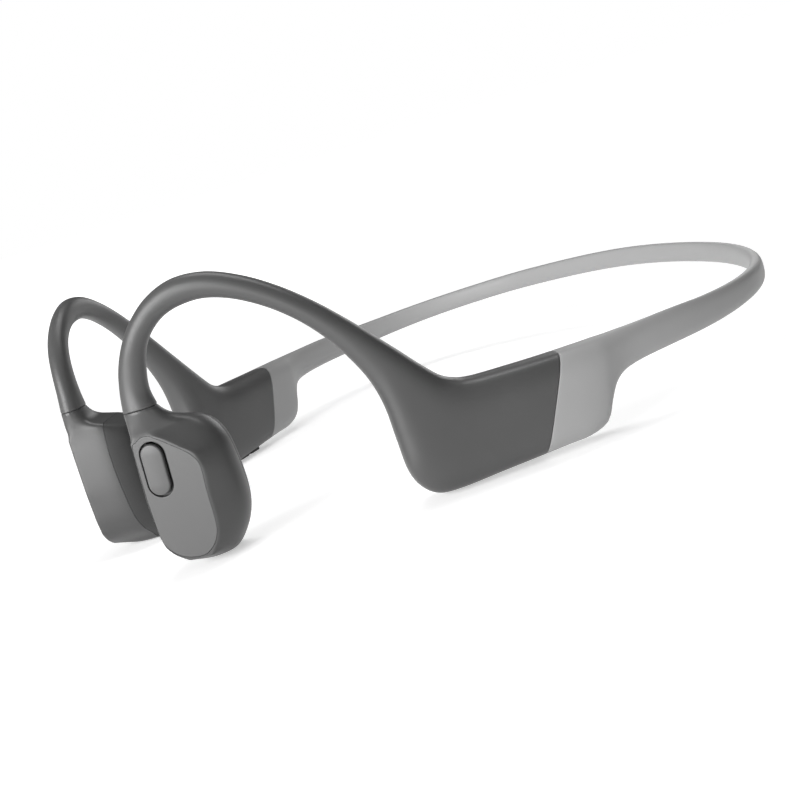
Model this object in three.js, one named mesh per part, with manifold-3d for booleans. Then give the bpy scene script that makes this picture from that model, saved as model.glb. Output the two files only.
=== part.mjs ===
// Bone conduction headphones: two ear-hook arms joined by a springy neckband.
// Millimetres. +X wearer's left, -Y wearer's front, +Z up. Origin: bottom centre of the bounding box.
//
// Each arm is described in "arm coordinates": u = distance back along the arm from the front of the
// transducer housing, z = height above the resting plane, w = sideways offset (positive = outward).
// The plan curve below turns arm coordinates into the shared frame. The right arm is the left mirrored.
import * as THREE from 'three';
import { mergeVertices } from 'three/addons/utils/BufferGeometryUtils.js';
import Module from 'manifold-3d';

const wasm = await Module();
wasm.setup();

// ---------------------------------------------------------------- driving dimensions
const GAP = 0.3;                    // clearance between neighbouring pieces
const BAND_SPLIT = 0.15;            // half of the slit between the two band halves at x = 0
const PLAN_LEAD = 2.0;              // straight run before the first plan curve
const PLAN_START = [14.2, -0.4];
const PLAN_CURVES = [               // cubic Beziers, left half of the plan view, front to back
  [[14.2, -0.4], [44.5, 26.6], [42.3, 29.6], [53.7, 52.7]],
  [[53.7, 52.7], [62.4, 70.4], [65.4, 83.2], [65.4, 93.6]],
  [[65.4, 93.6], [65.4, 127.6], [33.5, 137.8], [0.0, 137.8]],
];

// hook and module cover:
// [u top, z top, u bottom, z bottom, half width, squareness, cavity share, outward bow]
const HOOK = [
  [2.4, 30.9, 9.1, 30.9, 2.5, 2.1, 0, 0.8],
  [3.1, 34.6, 8.7, 33.8, 2.25, 2.1, 0, 0.7],
  [4.5, 38.6, 9.6, 37.4, 2.1, 2.1, 0, 0.9],
  [6.8, 42.6, 11.05, 40.8, 2.1, 2.1, 0, 1.1],
  [9.9, 46.3, 13.15, 43.45, 2.05, 2.1, 0, 1.1],
  [14.2, 49.5, 16.5, 45.0, 2.05, 2.1, 0, 0.8],
  [19.5, 51.2, 20.0, 46.2, 2.1, 2.1, 0, 0.5],
  [25.5, 50.7, 24.2, 46.1, 2.15, 2.1, 0, 0.25],
  [31.5, 48.2, 29.0, 44.5, 2.2, 2.1, 0, 0.1],
  [37.0, 44.6, 34.0, 41.5, 2.3, 2.1, 0, 0],
  [42.0, 40.3, 38.4, 37.7, 2.5, 2.1, 0, 0],
  [46.2, 35.9, 42.0, 33.3, 2.8, 2.15, 0, 0],
  [50.0, 31.5, 45.0, 28.2, 3.2, 2.3, 0.1, 0],
  [53.4, 27.4, 47.0, 23.4, 3.6, 2.5, 0.3, 0],
  [56.4, 23.7, 48.0, 18.2, 4.0, 2.8, 0.55, 0],
  [59.3, 20.6, 48.2, 12.0, 4.3, 3.0, 0.8, 0],
  [62.0, 19.2, 48.5, 6.0, 4.6, 3.2, 0.95, 0],
  [64.4, 18.7, 50.0, 2.6, 4.7, 3.3, 1, 0],
  [67.0, 18.5, 52.6, 0.7, 4.75, 3.4, 1, 0],
  [70.4, 18.35, 57.0, 0.35, 4.75, 3.5, 1, 0],
  [75.0, 18.15, 64.4, 0.7, 4.75, 3.6, 1, 0],
  [79.9, 18.0, 72.4, 1.05, 4.75, 3.6, 1, 0],
];

// tail and half neckband, same columns
const SLEEVE = [
  [79.9, 18.0, 72.4, 1.05, 4.75, 3.6, 1, 0],
  [82.8, 17.95, 77.2, 1.25, 4.75, 3.6, 1, 0],
  [85.2, 17.9, 81.3, 1.35, 4.65, 3.5, 1, 0],
  [87.7, 17.9, 84.9, 2.5, 4.3, 3.4, 0.85, 0],
  [90.0, 17.85, 86.5, 5.2, 3.65, 3.2, 0.6, 0],
  [92.6, 17.85, 88.3, 8.1, 3.0, 3.0, 0.3, 0],
  [95.6, 17.8, 91.0, 10.1, 2.4, 2.9, 0.1, 0],
  [99.2, 17.8, 95.2, 10.95, 1.9, 2.8, 0, 0],
  [105.0, 17.75, 102.3, 11.3, 1.5, 2.7, 0, 0],
  [114.0, 17.35, 113.0, 11.5, 1.35, 2.7, 0, 0],
  [126.0, 17.25, 126.0, 12.1, 1.35, 2.7, 0, 0],
  [145.0, 17.8, 145.0, 13.1, 1.35, 2.7, 0, 0],
  [170.0, 19.0, 170.0, 14.4, 1.35, 2.7, 0, 0],
];
const BAND_BACK = [19.9, 15.3, 1.35, 2.7, 0, 0];   // the same columns after u top, at the middle
const MODULE_WALL = 1.25;
const MODULE_BOTTOM = 0.35;
const CHANNEL_HOOK = [1.7, 1.0];    // half height and half width of the wire channel in the hook
const CHANNEL_BAND = [1.7, 0.85];   // the same in the neckband
const CORE_OFFSET = -0.75;          // springy core wire, across the channel
const CORE_RADIUS = 0.5;
const LEAD_OFFSET = 0.85;           // insulated leads, bundled
const LEAD_RADIUS = 0.4;

// transducer housing, in the flat frame at HOUSING_U
const HOUSING_U = 10;
const PLATE_W = 2.8;                // outer face plane
const SEAM_W = -4.9;                // parting plane between shell and contact pad
const PAD_W = -9.9;                 // flat contact face
const NECK_TOP = 30.6;
const NECK = { bow: 0.8, half: 2.5 };
const HOUSING_WALL = 1.2;
const CAVITY_HEIGHTS = [1.7, 2.8, 4.6, 8.0, 13.0, 18.0, 21.0, 23.0, 24.6];
const CAVITY_MIDDLE = 13;           // the floor and roof of the cavity slope away from this height
const CAVITY_SLOPE = 6;
const NECK_CHANNEL_U = 5.8;
// [z, u front, u rear, u where the flat outer face ends, w outer, w inner]
const HOUSING = [
  [0.0, 6.4, 9.8, 8.6, -2.2, -7.8],
  [0.4, 5.0, 11.4, 9.6, -0.4, -8.8],
  [1.1, 4.3, 12.8, 10.2, 1.2, -9.5],
  [1.9, 4.0, 14.0, 10.4, PLATE_W, -9.8],
  [3.2, 3.2, 15.8, 11.6, PLATE_W, PAD_W],
  [5.4, 1.9, 17.4, 13.0, PLATE_W, PAD_W],
  [8.5, 1.5, 18.4, 13.6, PLATE_W, PAD_W],
  [13.0, 1.5, 18.8, 13.9, PLATE_W, PAD_W],
  [17.2, 1.75, 19.0, 14.4, PLATE_W, PAD_W],
  [20.4, 2.0, 18.8, 13.8, PLATE_W, PAD_W],
  [22.6, 2.2, 18.1, 11.4, PLATE_W, PAD_W],
  [24.6, 2.4, 16.7, 8.9, PLATE_W, -9.4],
  [26.2, 2.5, 14.9, 6.6, PLATE_W, -6.6],
  [27.2, 2.5, 13.1, 6.3, 2.95, -3.8],
  [28.0, 2.45, 11.3, 6.2, 3.1, -2.3],
  [29.2, 2.4, 9.8, 6.1, 3.2, -1.9],
  [30.6, 2.4, 9.1, 6.0, 3.3, -1.7],
];
const FACE_OUTLINE = [              // edge of the flat outer face: [u, z]
  [2.5, 24.4], [3.6, 25.4], [4.8, 26.0], [6.0, 26.0], [7.1, 25.5], [11.7, 22.0], [13.4, 20.2],
  [14.1, 18.2], [13.7, 13.7], [13.3, 7.9], [12.7, 5.4], [11.3, 3.4], [9.2, 2.1], [6.7, 2.1],
  [4.3, 2.9], [2.4, 4.7], [1.6, 7.0], [1.6, 13.0], [1.9, 18.0],
];
const FACE_RIM = 0.15;              // housing edge left showing round the plate
const FACE_GAP = 0.15;              // clearance round the plate
const FACE_THICK = 0.85;

// controls
const BUTTON = { u: 5.45, z: 19.6, length: 9.65, width: 4.2, tilt: 4.5, proud: 0.4 };
const BUTTON_WEB = 0.6;             // the housing's ledge under the button's edge
const STEM = { radius: 0.9, end: 0.8 };
const SWITCH = { radius: 1.7, low: -0.5, high: 0.15 };
const BUTTON_BOARD = { length: 8.4, width: 4.4, radius: 0.8, shift: 0.2, low: -1.4, high: -0.8 };
const VOLUME = { rear: 69.9, length: 4.0, width: 2.4, radius: 0.9, pitch: 4.4, proud: 0.3, top: 1.9 };
const VOLUME_SWITCH = { half: 1.1, bottom: 2.35, top: 2.7, depth: 1 };
const PORT = { u: 57.6, length: 6.0, width: 3.6, radius: 1.5, bottom: 0.4, top: 2.1 };
const CONTACT = { apart: 1.5, well: 0.95, wellTop: 1.6, radius: 0.65, bottom: 0.7, top: 1.3 };

// transducer: discs and rings on one axis. low and high are w, negative toward the head
const DRIVER = { u: 10.2, z: 13.0 };
const BRACKET = { radius: 6.3, low: -3.9, high: -2.9 };
const FLEXURE = { radius: 6.1, bore: 1.6, low: -6.9, high: -6.6 };
const YOKE = { radius: 5.6, bore: 4.5, low: -6.2, floor: -5.2, high: -2.6 };
const MAGNET = { radius: 3.1, low: -4.8, high: -2.8 };
const COIL = { radius: 4.15, bore: 3.5, low: -4.3, high: -1.9 };

// module internals, in the flat frame at MODULE_U: u front, u rear, z bottom, z top, w inner, w outer, radius
const MODULE_U = 68;
const TRAY = { front: 59.5, rear: 79.9, bottom: 3.7, top: 15.3, half: 2.7, wall: 0.6, open: 4 };
const TRAY_RADII = [1.4, 1.0];
const CELL = [61, 78.6, 4.6, 14.3, -1.8, 2.4, 1.2];
const MAIN_BOARD = [60.5, 79.0, 4.6, 14.3, -1.6, -0.9, 0.6];
const SHIELD = [68.8, 74.8, 5.6, 12.4, -0.6, 0.9];
// chips on the board: [u, z, half length]
const CHIPS = [[63, 12.6, 1.6], [66.5, 12.9, 1.2], [76.9, 6.2, 1.8], [77.2, 12.4, 1.2]];
const CHIP = { aspect: 0.6, low: -1.0, high: -0.2 };

const COLOURS = {
  dark: 0x4c4c4d, light: 0x9a9b9c, plate: 0x8b8b8c, pad: 0x474748, metal: 0xb9bbbe, copper: 0xb4713c,
  board: 0x1f5b3c, cell: 0x8f969d, black: 0x1a1a1b, gold: 0xc9a34a, lead: 0x5a1f1f,
};

// ---------------------------------------------------------------- plan curve
const PLAN_STEPS = 120;

function planSamples() {
  const first = new THREE.Vector2(...PLAN_START);
  const toward = new THREE.Vector2(...PLAN_CURVES[0][1]).sub(first).normalize();
  const points = [first.clone().addScaledVector(toward, -PLAN_LEAD), first];
  for (const curve of PLAN_CURVES) {
    const bezier = new THREE.CubicBezierCurve(...curve.map(([x, y]) => new THREE.Vector2(x, y)));
    points.push(...bezier.getPoints(PLAN_STEPS).slice(1));
  }
  return points;
}

const planPoints = planSamples();
const planLengths = [0];
for (let i = 1; i < planPoints.length; i += 1) {
  planLengths.push(planLengths[i - 1] + planPoints[i].distanceTo(planPoints[i - 1]));
}
const BAND_END = planLengths[planLengths.length - 1];

// position, backward tangent and outward normal of the plan curve at distance u
function planFrame(u) {
  let i = planLengths.findIndex((length) => length > u) - 1;
  if (u <= 0) i = 0;
  if (i < 0) i = planPoints.length - 2;
  const start = planPoints[i];
  const along = planPoints[i + 1].clone().sub(start).normalize();
  const point = start.clone().addScaledVector(along, u - planLengths[i]);
  return { point, along, out: new THREE.Vector2(along.y, -along.x) };
}

// arm coordinates on the curved arm
function onArm(u, z, w) {
  const { point, along, out } = planFrame(u);
  const before = planFrame(u - 1).out;
  const after = planFrame(Math.min(u + 1, BAND_END)).out;
  const normal = u < PLAN_LEAD || u > BAND_END - 1 ? out : before.add(after).normalize();
  return [point.x + normal.x * w, point.y + normal.y * w, z];
}

// arm coordinates in a flat frame touching the arm at distance u0
function flatFrame(u0) {
  const { point, along, out } = planFrame(u0);
  return (u, z, w) => [
    point.x + along.x * (u - u0) + out.x * w,
    point.y + along.y * (u - u0) + out.y * w,
    z,
  ];
}

const inHousing = flatFrame(HOUSING_U);
const inModule = flatFrame(MODULE_U);

// ---------------------------------------------------------------- solids
// solid from vertices and triangles, turned so that its faces point out
function solidFrom(vertices, faces) {
  const corner = (i) => new THREE.Vector3(...vertices[i]);
  let volume = 0;
  for (const [a, b, c] of faces) volume += corner(a).dot(corner(b).cross(corner(c)));
  const outward = volume > 0 ? faces : faces.map(([a, b, c]) => [a, c, b]);
  return new wasm.Manifold(new wasm.Mesh({
    numProp: 3,
    vertProperties: new Float32Array(vertices.flat()),
    triVerts: new Uint32Array(outward.flat()),
  }));
}

// closed solid through a row of rings with equal point counts
function loft(rings) {
  const count = rings[0].length;
  const vertices = rings.flat();
  const faces = [];
  for (let r = 0; r + 1 < rings.length; r += 1) {
    for (let i = 0; i < count; i += 1) {
      const a = r * count + i;
      const b = r * count + ((i + 1) % count);
      faces.push([a, b, b + count], [a, b + count, a + count]);
    }
  }
  for (const [ring, flip] of [[0, true], [rings.length - 1, false]]) {
    const centre = vertices.length;
    const sum = rings[ring].reduce((s, p) => s.map((v, k) => v + p[k]), [0, 0, 0]);
    vertices.push(sum.map((v) => v / count));
    for (let i = 0; i < count; i += 1) {
      const a = ring * count + i;
      const b = ring * count + ((i + 1) % count);
      faces.push(flip ? [b, a, centre] : [a, b, centre]);
    }
  }
  return solidFrom(vertices, faces);
}

// prism over a 2-D outline; place(p, q, h) gives the position
function prism(outline, low, high, place) {
  return loft([low, high].map((h) => outline.map(([p, q]) => place(p, q, h))));
}

const DISC_POINTS = 24;

function circle(radius, count = DISC_POINTS, centre = [0, 0]) {
  return Array.from({ length: count }, (_, i) => {
    const angle = (i / count) * 2 * Math.PI;
    return [centre[0] + radius * Math.cos(angle), centre[1] + radius * Math.sin(angle)];
  });
}

// rounded rectangle; radius = half the width gives a pill
function roundedRect(length, width, radius, centre = [0, 0], tilt = 0, steps = 5) {
  const points = [];
  const turn = THREE.MathUtils.degToRad(tilt);
  for (let corner = 0; corner < 4; corner += 1) {
    const cx = (corner === 0 || corner === 3 ? 1 : -1) * (length / 2 - radius);
    const cy = (corner < 2 ? 1 : -1) * (width / 2 - radius);
    for (let i = 0; i <= steps; i += 1) {
      const angle = (corner + i / steps) * (Math.PI / 2);
      points.push([cx + radius * Math.cos(angle), cy + radius * Math.sin(angle)]);
    }
  }
  return points.map(([x, y]) => [
    centre[0] + x * Math.cos(turn) - y * Math.sin(turn),
    centre[1] + x * Math.sin(turn) + y * Math.cos(turn),
  ]);
}

// outline moved inward (positive) or outward (negative) by a distance; points run clockwise
function inset(outline, distance) {
  return outline.map((point, i) => {
    const before = outline[(i + outline.length - 1) % outline.length];
    const after = outline[(i + 1) % outline.length];
    const along = new THREE.Vector2(after[0] - before[0], after[1] - before[1]).normalize();
    return [point[0] + along.y * distance, point[1] - along.x * distance];
  });
}

// each corner of a polygon replaced by a short curve that starts the given distance before it
function softRing(corners, radii, steps) {
  const points = [];
  corners.forEach((corner, i) => {
    const before = corners[(i + corners.length - 1) % corners.length];
    const after = corners[(i + 1) % corners.length];
    const ends = [before, after].map((other) => {
      const length = Math.hypot(other[0] - corner[0], other[1] - corner[1]);
      const share = Math.min(radii[i] / length, 0.5);
      return corner.map((v, k) => v + (other[k] - v) * share);
    });
    for (let s = 0; s < steps; s += 1) {
      const t = s / (steps - 1);
      points.push(corner.map((v, k) => (
        ends[0][k] * (1 - t) ** 2 + 2 * v * t * (1 - t) + ends[1][k] * t ** 2
      )));
    }
  });
  return points;
}

// ---------------------------------------------------------------- arm lofts
// extra rows between the given ones, on a smooth curve through them, about one per spacing
function refine(rows, spacing) {
  const fine = [];
  const at = (i) => rows[THREE.MathUtils.clamp(i, 0, rows.length - 1)];
  for (let i = 0; i + 1 < rows.length; i += 1) {
    const [a, b, c, d] = [at(i - 1), at(i), at(i + 1), at(i + 2)];
    const steps = Math.max(1, Math.round(Math.hypot(c[0] - b[0], c[1] - b[1]) / spacing));
    for (let s = 0; s < steps; s += 1) {
      const t = s / steps;
      const weights = [
        (-t + 2 * t ** 2 - t ** 3) / 2,
        (2 - 5 * t ** 2 + 3 * t ** 3) / 2,
        (t + 4 * t ** 2 - 3 * t ** 3) / 2,
        (t ** 3 - t ** 2) / 2,
      ];
      fine.push(b.map((v, k) => weights[0] * a[k] + weights[1] * v + weights[2] * c[k] + weights[3] * d[k]));
    }
  }
  fine.push(at(rows.length - 1));
  return fine;
}

// ring across the arm: centred on the chord of a row plus an offset along it
function armRing(row, halfHeight, halfWidth, squareness, count, offset = 0) {
  const [uTop, zTop, uBottom, zBottom, , , , bow] = row;
  const length = Math.hypot(uTop - uBottom, zTop - zBottom);
  const rise = [(uTop - uBottom) / length, (zTop - zBottom) / length];
  const centre = [(uTop + uBottom) / 2 + rise[0] * offset, (zTop + zBottom) / 2 + rise[1] * offset];
  return Array.from({ length: count }, (_, i) => {
    const angle = (i / count) * 2 * Math.PI;
    const c = Math.cos(angle);
    const s = Math.sin(angle);
    const h = halfHeight * Math.sign(c) * Math.abs(c) ** (2 / squareness);
    const w = halfWidth * Math.sign(s) * Math.abs(s) ** (2 / squareness);
    return onArm(centre[0] + rise[0] * h, centre[1] + rise[1] * h, w + bow);
  });
}

function chord(row) {
  return Math.hypot(row[0] - row[2], row[1] - row[3]);
}

function armOutside(rows, count) {
  return loft(rows.map((row) => armRing(row, chord(row) / 2, row[4], row[5], count)));
}

function armInside(rows, channel, count) {
  return loft(rows.map((row) => {
    const high = THREE.MathUtils.lerp(channel[0], chord(row) / 2 - MODULE_WALL, row[6]);
    const wide = THREE.MathUtils.lerp(channel[1], row[4] - MODULE_WALL, row[6]);
    const square = THREE.MathUtils.lerp(CHANNEL_SQUARENESS, CAVITY_SQUARENESS, row[6]);
    return armRing(row, high, wide, square, count);
  }));
}

function wire(rows, offset, radius) {
  return loft(rows.map((row) => armRing(row, radius, radius, 2, 8, offset)));
}

// the last row pushed on along the arm, so that a cutter passes right through the end
function extended(rows, distance) {
  const push = (row, next) => row.map((v, k) => (k < 4 ? v + (v - next[k]) * (distance / 2) : v));
  return [push(rows[0], rows[1]), ...rows, push(rows[rows.length - 1], rows[rows.length - 2])];
}

// ---------------------------------------------------------------- rows along the arm
const HOOK_SPACING = 2.6;
const BAND_SPACING = 5;
const WIRE_SHARE = 0.75;            // the wires end where the cavity opens further than this
const ARM_POINTS = 20;
const CHANNEL_POINTS = 12;
const CHANNEL_SQUARENESS = 2.2;
const CAVITY_SQUARENESS = 4.6;
const OVERRUN = 0.4;                // how far a cutter passes through the end of what it cuts

const sleeveEnd = BAND_END - BAND_SPLIT;
const sleeveTable = [
  SLEEVE[0].map((v, k) => (k === 0 || k === 2 ? v + GAP : v)),
  ...SLEEVE.slice(1),
  [sleeveEnd, BAND_BACK[0], sleeveEnd, ...BAND_BACK.slice(1)],
];
const hookRows = refine(HOOK, HOOK_SPACING);
const sleeveRows = refine(sleeveTable, BAND_SPACING);
const hookWireRows = hookRows.filter((row) => row[6] < WIRE_SHARE);
const bandWireRows = sleeveRows.filter((row) => row[6] < WIRE_SHARE / 2);

function hookShell(side) {
  let shell = armOutside(hookRows, ARM_POINTS);
  shell = shell.subtract(armInside(extended(hookRows, OVERRUN), CHANNEL_HOOK, CHANNEL_POINTS));
  if (side === 'right') {
    for (const spot of volumeSpots()) shell = shell.subtract(volumePill(spot, GAP, -1, 4));
    shell = shell.subtract(portPill(GAP, -1, 4));
  }
  return shell;
}

function bandSleeve() {
  const channel = armInside(extended(sleeveRows, OVERRUN), CHANNEL_BAND, CHANNEL_POINTS);
  return armOutside(sleeveRows, ARM_POINTS).subtract(channel);
}

// ---------------------------------------------------------------- transducer housing
const CORNER_STEPS = 3;
const CORNER_RADII = [0.2, 0.3, 2.2, 0.8, 1.8, 1.8, 0.8];

// HOUSING row at any height
function housingRow(z) {
  const next = THREE.MathUtils.clamp(HOUSING.findIndex((row) => row[0] > z), 1, HOUSING.length - 1);
  const [low, high] = [HOUSING[next - 1], HOUSING[next]];
  const share = THREE.MathUtils.clamp((z - low[0]) / (high[0] - low[0]), 0, 1);
  return low.map((v, k) => THREE.MathUtils.lerp(v, high[k], share));
}

// horizontal section of the housing, pulled in by shrink, placed at height z
function housingRing(row, shrink = 0, z = row[0]) {
  const front = row[1] + shrink;
  const rear = row[2] - shrink;
  const faceEnd = Math.min(row[3], row[2] - 1) - shrink;
  const outer = row[4] - shrink;
  const inner = row[5] + shrink;
  const seam = Math.max(SEAM_W, inner + 0.6);
  const widest = Math.min(-0.6, (outer + seam) / 2);
  const padInset = Math.min(2.2, (rear - front) * 0.2, seam - inner);
  const corners = [
    [front, outer], [faceEnd, outer], [rear, widest], [rear, seam],
    [rear - padInset, inner], [front + padInset * 0.8, inner], [front, seam],
  ];
  const body = softRing(corners, CORNER_RADII, CORNER_STEPS);
  const neck = THREE.MathUtils.smoothstep(row[0], 26.2, NECK_TOP);
  const middle = [(front + rear) / 2, NECK.bow];
  const half = [(rear - front) / 2, NECK.half - shrink];
  return body.map(([u, w]) => {
    const angle = Math.atan2((w - middle[1]) / half[1], (u - middle[0]) / half[0]);
    const oval = [middle[0] + half[0] * Math.cos(angle), middle[1] + half[1] * Math.sin(angle)];
    return inHousing(THREE.MathUtils.lerp(u, oval[0], neck), z, THREE.MathUtils.lerp(w, oval[1], neck));
  });
}

const housingBody = loft(HOUSING.map((row) => housingRing(row)));
const housingCavity = loft(CAVITY_HEIGHTS.map((z) => {
  const lift = HOUSING_WALL * THREE.MathUtils.clamp((z - CAVITY_MIDDLE) / CAVITY_SLOPE, -1, 1);
  return housingRing(housingRow(z + lift), HOUSING_WALL, z);
}));

function halfSpace(from, to) {
  return prism([[-20, -20], [-20, 60], [40, 60], [40, -20]], from, to, inHousing);
}

const neckChannel = loft([20, NECK_TOP + 1].map((z) => circle(1, 12).map(([p, q]) => (
  inHousing(NECK_CHANNEL_U + CHANNEL_HOOK[0] * p, z, NECK.bow + CHANNEL_HOOK[1] * q)
))));

function facePocket() {
  return prism(inset(FACE_OUTLINE, FACE_RIM), PLATE_W - FACE_THICK - GAP, PLATE_W + 0.6, inHousing);
}

function buttonPill(grow, low, high) {
  const outline = roundedRect(
    BUTTON.length + 2 * grow, BUTTON.width + 2 * grow, BUTTON.width / 2 + grow,
    [BUTTON.u, BUTTON.z], 90 - BUTTON.tilt,
  );
  return prism(outline, low, high, inHousing);
}

function housingShell(side) {
  let shell = housingBody.subtract(halfSpace(-30, SEAM_W + GAP / 2));
  shell = shell.subtract(housingCavity).subtract(neckChannel).subtract(facePocket());
  if (side === 'left') shell = shell.subtract(buttonPill(-BUTTON_WEB, -2, 4));
  return shell;
}

function facePlate(side) {
  const outline = inset(FACE_OUTLINE, FACE_RIM + FACE_GAP);
  const plate = prism(outline, PLATE_W - FACE_THICK, PLATE_W, inHousing);
  return side === 'left' ? plate.subtract(buttonPill(FACE_GAP, 0, 5)) : plate;
}

function contactPad() {
  return housingBody.subtract(halfSpace(SEAM_W - GAP / 2, 30)).subtract(housingCavity);
}

// ring or disc on the driver axis
function driverDisc({ radius, bore, low, high }) {
  const centre = [DRIVER.u, DRIVER.z];
  const disc = prism(circle(radius, DISC_POINTS, centre), low, high, inHousing);
  if (!bore) return disc;
  return disc.subtract(prism(circle(bore, DISC_POINTS, centre), low - 1, high + 1, inHousing));
}

// cup that holds the magnet, open toward the outer face
function yoke() {
  const cup = driverDisc({ radius: YOKE.radius, low: YOKE.low, high: YOKE.high });
  return cup.subtract(driverDisc({ radius: YOKE.bore, low: YOKE.floor, high: YOKE.high + 1 }));
}

// ---------------------------------------------------------------- controls
function buttonSpan() {
  return [PLATE_W - FACE_THICK + GAP, PLATE_W + BUTTON.proud];
}

function multifunctionButton() {
  const [low, high] = buttonSpan();
  const cap = buttonPill(0, low, high);
  const stem = prism(circle(STEM.radius, 16, [BUTTON.u, BUTTON.z]), STEM.end, low + 0.1, inHousing);
  return cap.add(stem);
}

function buttonSwitch() {
  return prism(circle(SWITCH.radius, 16, [BUTTON.u, BUTTON.z]), SWITCH.low, SWITCH.high, inHousing);
}

function buttonBoard() {
  const { length, width, radius, shift, low, high } = BUTTON_BOARD;
  const outline = roundedRect(length, width, radius, [BUTTON.u + shift, BUTTON.z], 90 - BUTTON.tilt, 3);
  return prism(outline, low, high, inHousing);
}

// middles of the volume up and volume down buttons
function volumeSpots() {
  return [0, 1].map((i) => VOLUME.rear - VOLUME.length / 2 - i * VOLUME.pitch);
}

const upright = (u, w, z) => inModule(u, z, w);

function volumePill(u, grow, low, high) {
  const outline = roundedRect(
    VOLUME.length + 2 * grow, VOLUME.width + 2 * grow, VOLUME.radius + grow, [u, 0], 0, 3,
  );
  return prism(outline, low, high, upright);
}

function volumeSwitch(u) {
  const { half, bottom, top, depth } = VOLUME_SWITCH;
  return box(u - half, u + half, bottom, top, -depth, depth);
}

function volumeButton(u) {
  return volumePill(u, 0, MODULE_BOTTOM - VOLUME.proud, VOLUME.top);
}

function portPill(grow, low, high) {
  const outline = roundedRect(
    PORT.length + 2 * grow, PORT.width + 2 * grow, PORT.radius + grow, [PORT.u, 0], 0, 4,
  );
  return prism(outline, low, high, upright);
}

// disc at the front (-1) or rear (+1) contact of the charging port
function contactDisc(side, radius, low, high) {
  return prism(circle(radius, 16, [PORT.u + side * CONTACT.apart, 0]), low, high, upright);
}

function chargePort() {
  const block = portPill(0, PORT.bottom, PORT.top);
  const wells = [-1, 1].map((side) => contactDisc(side, CONTACT.well, 0, CONTACT.wellTop));
  return block.subtract(wells[0]).subtract(wells[1]);
}

function chargeContact(side) {
  return contactDisc(side, CONTACT.radius, CONTACT.bottom, CONTACT.top);
}

// ---------------------------------------------------------------- module internals
function box(u0, u1, z0, z1, w0, w1) {
  return prism([[u0, z0], [u1, z0], [u1, z1], [u0, z1]], w0, w1, inModule);
}

function softBox(u0, u1, z0, z1, w0, w1, radius) {
  const outline = roundedRect(u1 - u0, z1 - z0, radius, [(u0 + u1) / 2, (z0 + z1) / 2], 0, 3);
  return prism(outline, w0, w1, inModule);
}

// tray open toward the outer side
function tray() {
  const { front, rear, bottom, top, half, wall, open } = TRAY;
  const outside = softBox(front, rear, bottom, top, -half, half, TRAY_RADII[0]);
  const inside = softBox(
    front + wall, rear - wall, bottom + wall, top - wall, wall - half, open, TRAY_RADII[1],
  );
  return outside.subtract(inside);
}

function mainBoard() {
  let board = softBox(...MAIN_BOARD);
  for (const [u, z, half] of CHIPS) {
    const high = half * CHIP.aspect;
    board = board.add(box(u - half, u + half, z - high, z + high, CHIP.low, CHIP.high));
  }
  return board;
}

// ---------------------------------------------------------------- assembly
// name: [shape, colour, metalness]
function sidePieces(side) {
  const pieces = {
    hook_shell: [hookShell(side), 'dark', 0],
    band_sleeve: [bandSleeve(), 'light', 0],
    hook_core: [wire(hookWireRows, CORE_OFFSET, CORE_RADIUS), 'metal', 1],
    band_core: [wire(bandWireRows, CORE_OFFSET, CORE_RADIUS), 'metal', 1],
    hook_leads: [wire(hookWireRows, LEAD_OFFSET, LEAD_RADIUS), 'lead', 0],
    band_leads: [wire(bandWireRows, LEAD_OFFSET, LEAD_RADIUS), 'lead', 0],
    housing_shell: [housingShell(side), 'dark', 0],
    face_plate: [facePlate(side), 'plate', 0],
    contact_pad: [contactPad(), 'pad', 0],
    driver_bracket: [driverDisc({ ...BRACKET, bore: YOKE.radius + GAP }), 'black', 0],
    driver_flexure: [driverDisc(FLEXURE), 'metal', 1],
    driver_yoke: [yoke(), 'metal', 1],
    driver_magnet: [driverDisc(MAGNET), 'metal', 1],
    voice_coil: [driverDisc(COIL), 'copper', 1],
    module_tray: [tray(), 'black', 0],
  };
  if (side === 'left') {
    pieces.multifunction_button = [multifunctionButton(), 'plate', 0];
    pieces.button_switch = [buttonSwitch(), 'metal', 1];
    pieces.button_board = [buttonBoard(), 'board', 0];
    pieces.battery_cell = [softBox(...CELL), 'cell', 0.4];
  } else {
    volumeSpots().forEach((u, i) => {
      const name = ['volume_up', 'volume_down'][i];
      pieces[`${name}_button`] = [volumeButton(u), 'black', 0];
      pieces[`${name}_switch`] = [volumeSwitch(u), 'metal', 1];
    });
    pieces.charge_port = [chargePort(), 'black', 0];
    pieces.charge_contact_front = [chargeContact(-1), 'gold', 1];
    pieces.charge_contact_rear = [chargeContact(1), 'gold', 1];
    pieces.main_board = [mainBoard(), 'board', 0];
    pieces.radio_shield = [box(...SHIELD), 'metal', 1];
  }
  return pieces;
}

function toMesh(name, [shape, colour, metalness], mirror) {
  const { vertProperties, triVerts, numProp } = shape.getMesh();
  const positions = new Float32Array((vertProperties.length / numProp) * 3);
  for (let i = 0; i < positions.length / 3; i += 1) {
    positions[i * 3] = vertProperties[i * numProp] * (mirror ? -1 : 1);
    positions[i * 3 + 1] = vertProperties[i * numProp + 1];
    positions[i * 3 + 2] = vertProperties[i * numProp + 2];
  }
  const order = Array.from(triVerts);
  if (mirror) order.reverse();
  const raw = new THREE.BufferGeometry();
  raw.setAttribute('position', new THREE.BufferAttribute(positions, 3));
  raw.setIndex(order);
  const geometry = mergeVertices(raw, 1e-4);
  geometry.computeVertexNormals();
  const material = new THREE.MeshStandardMaterial({
    color: COLOURS[colour],
    metalness,
    roughness: metalness ? 0.35 : 0.65,
  });
  const mesh = new THREE.Mesh(geometry, material);
  mesh.name = name;
  return mesh;
}

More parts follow.
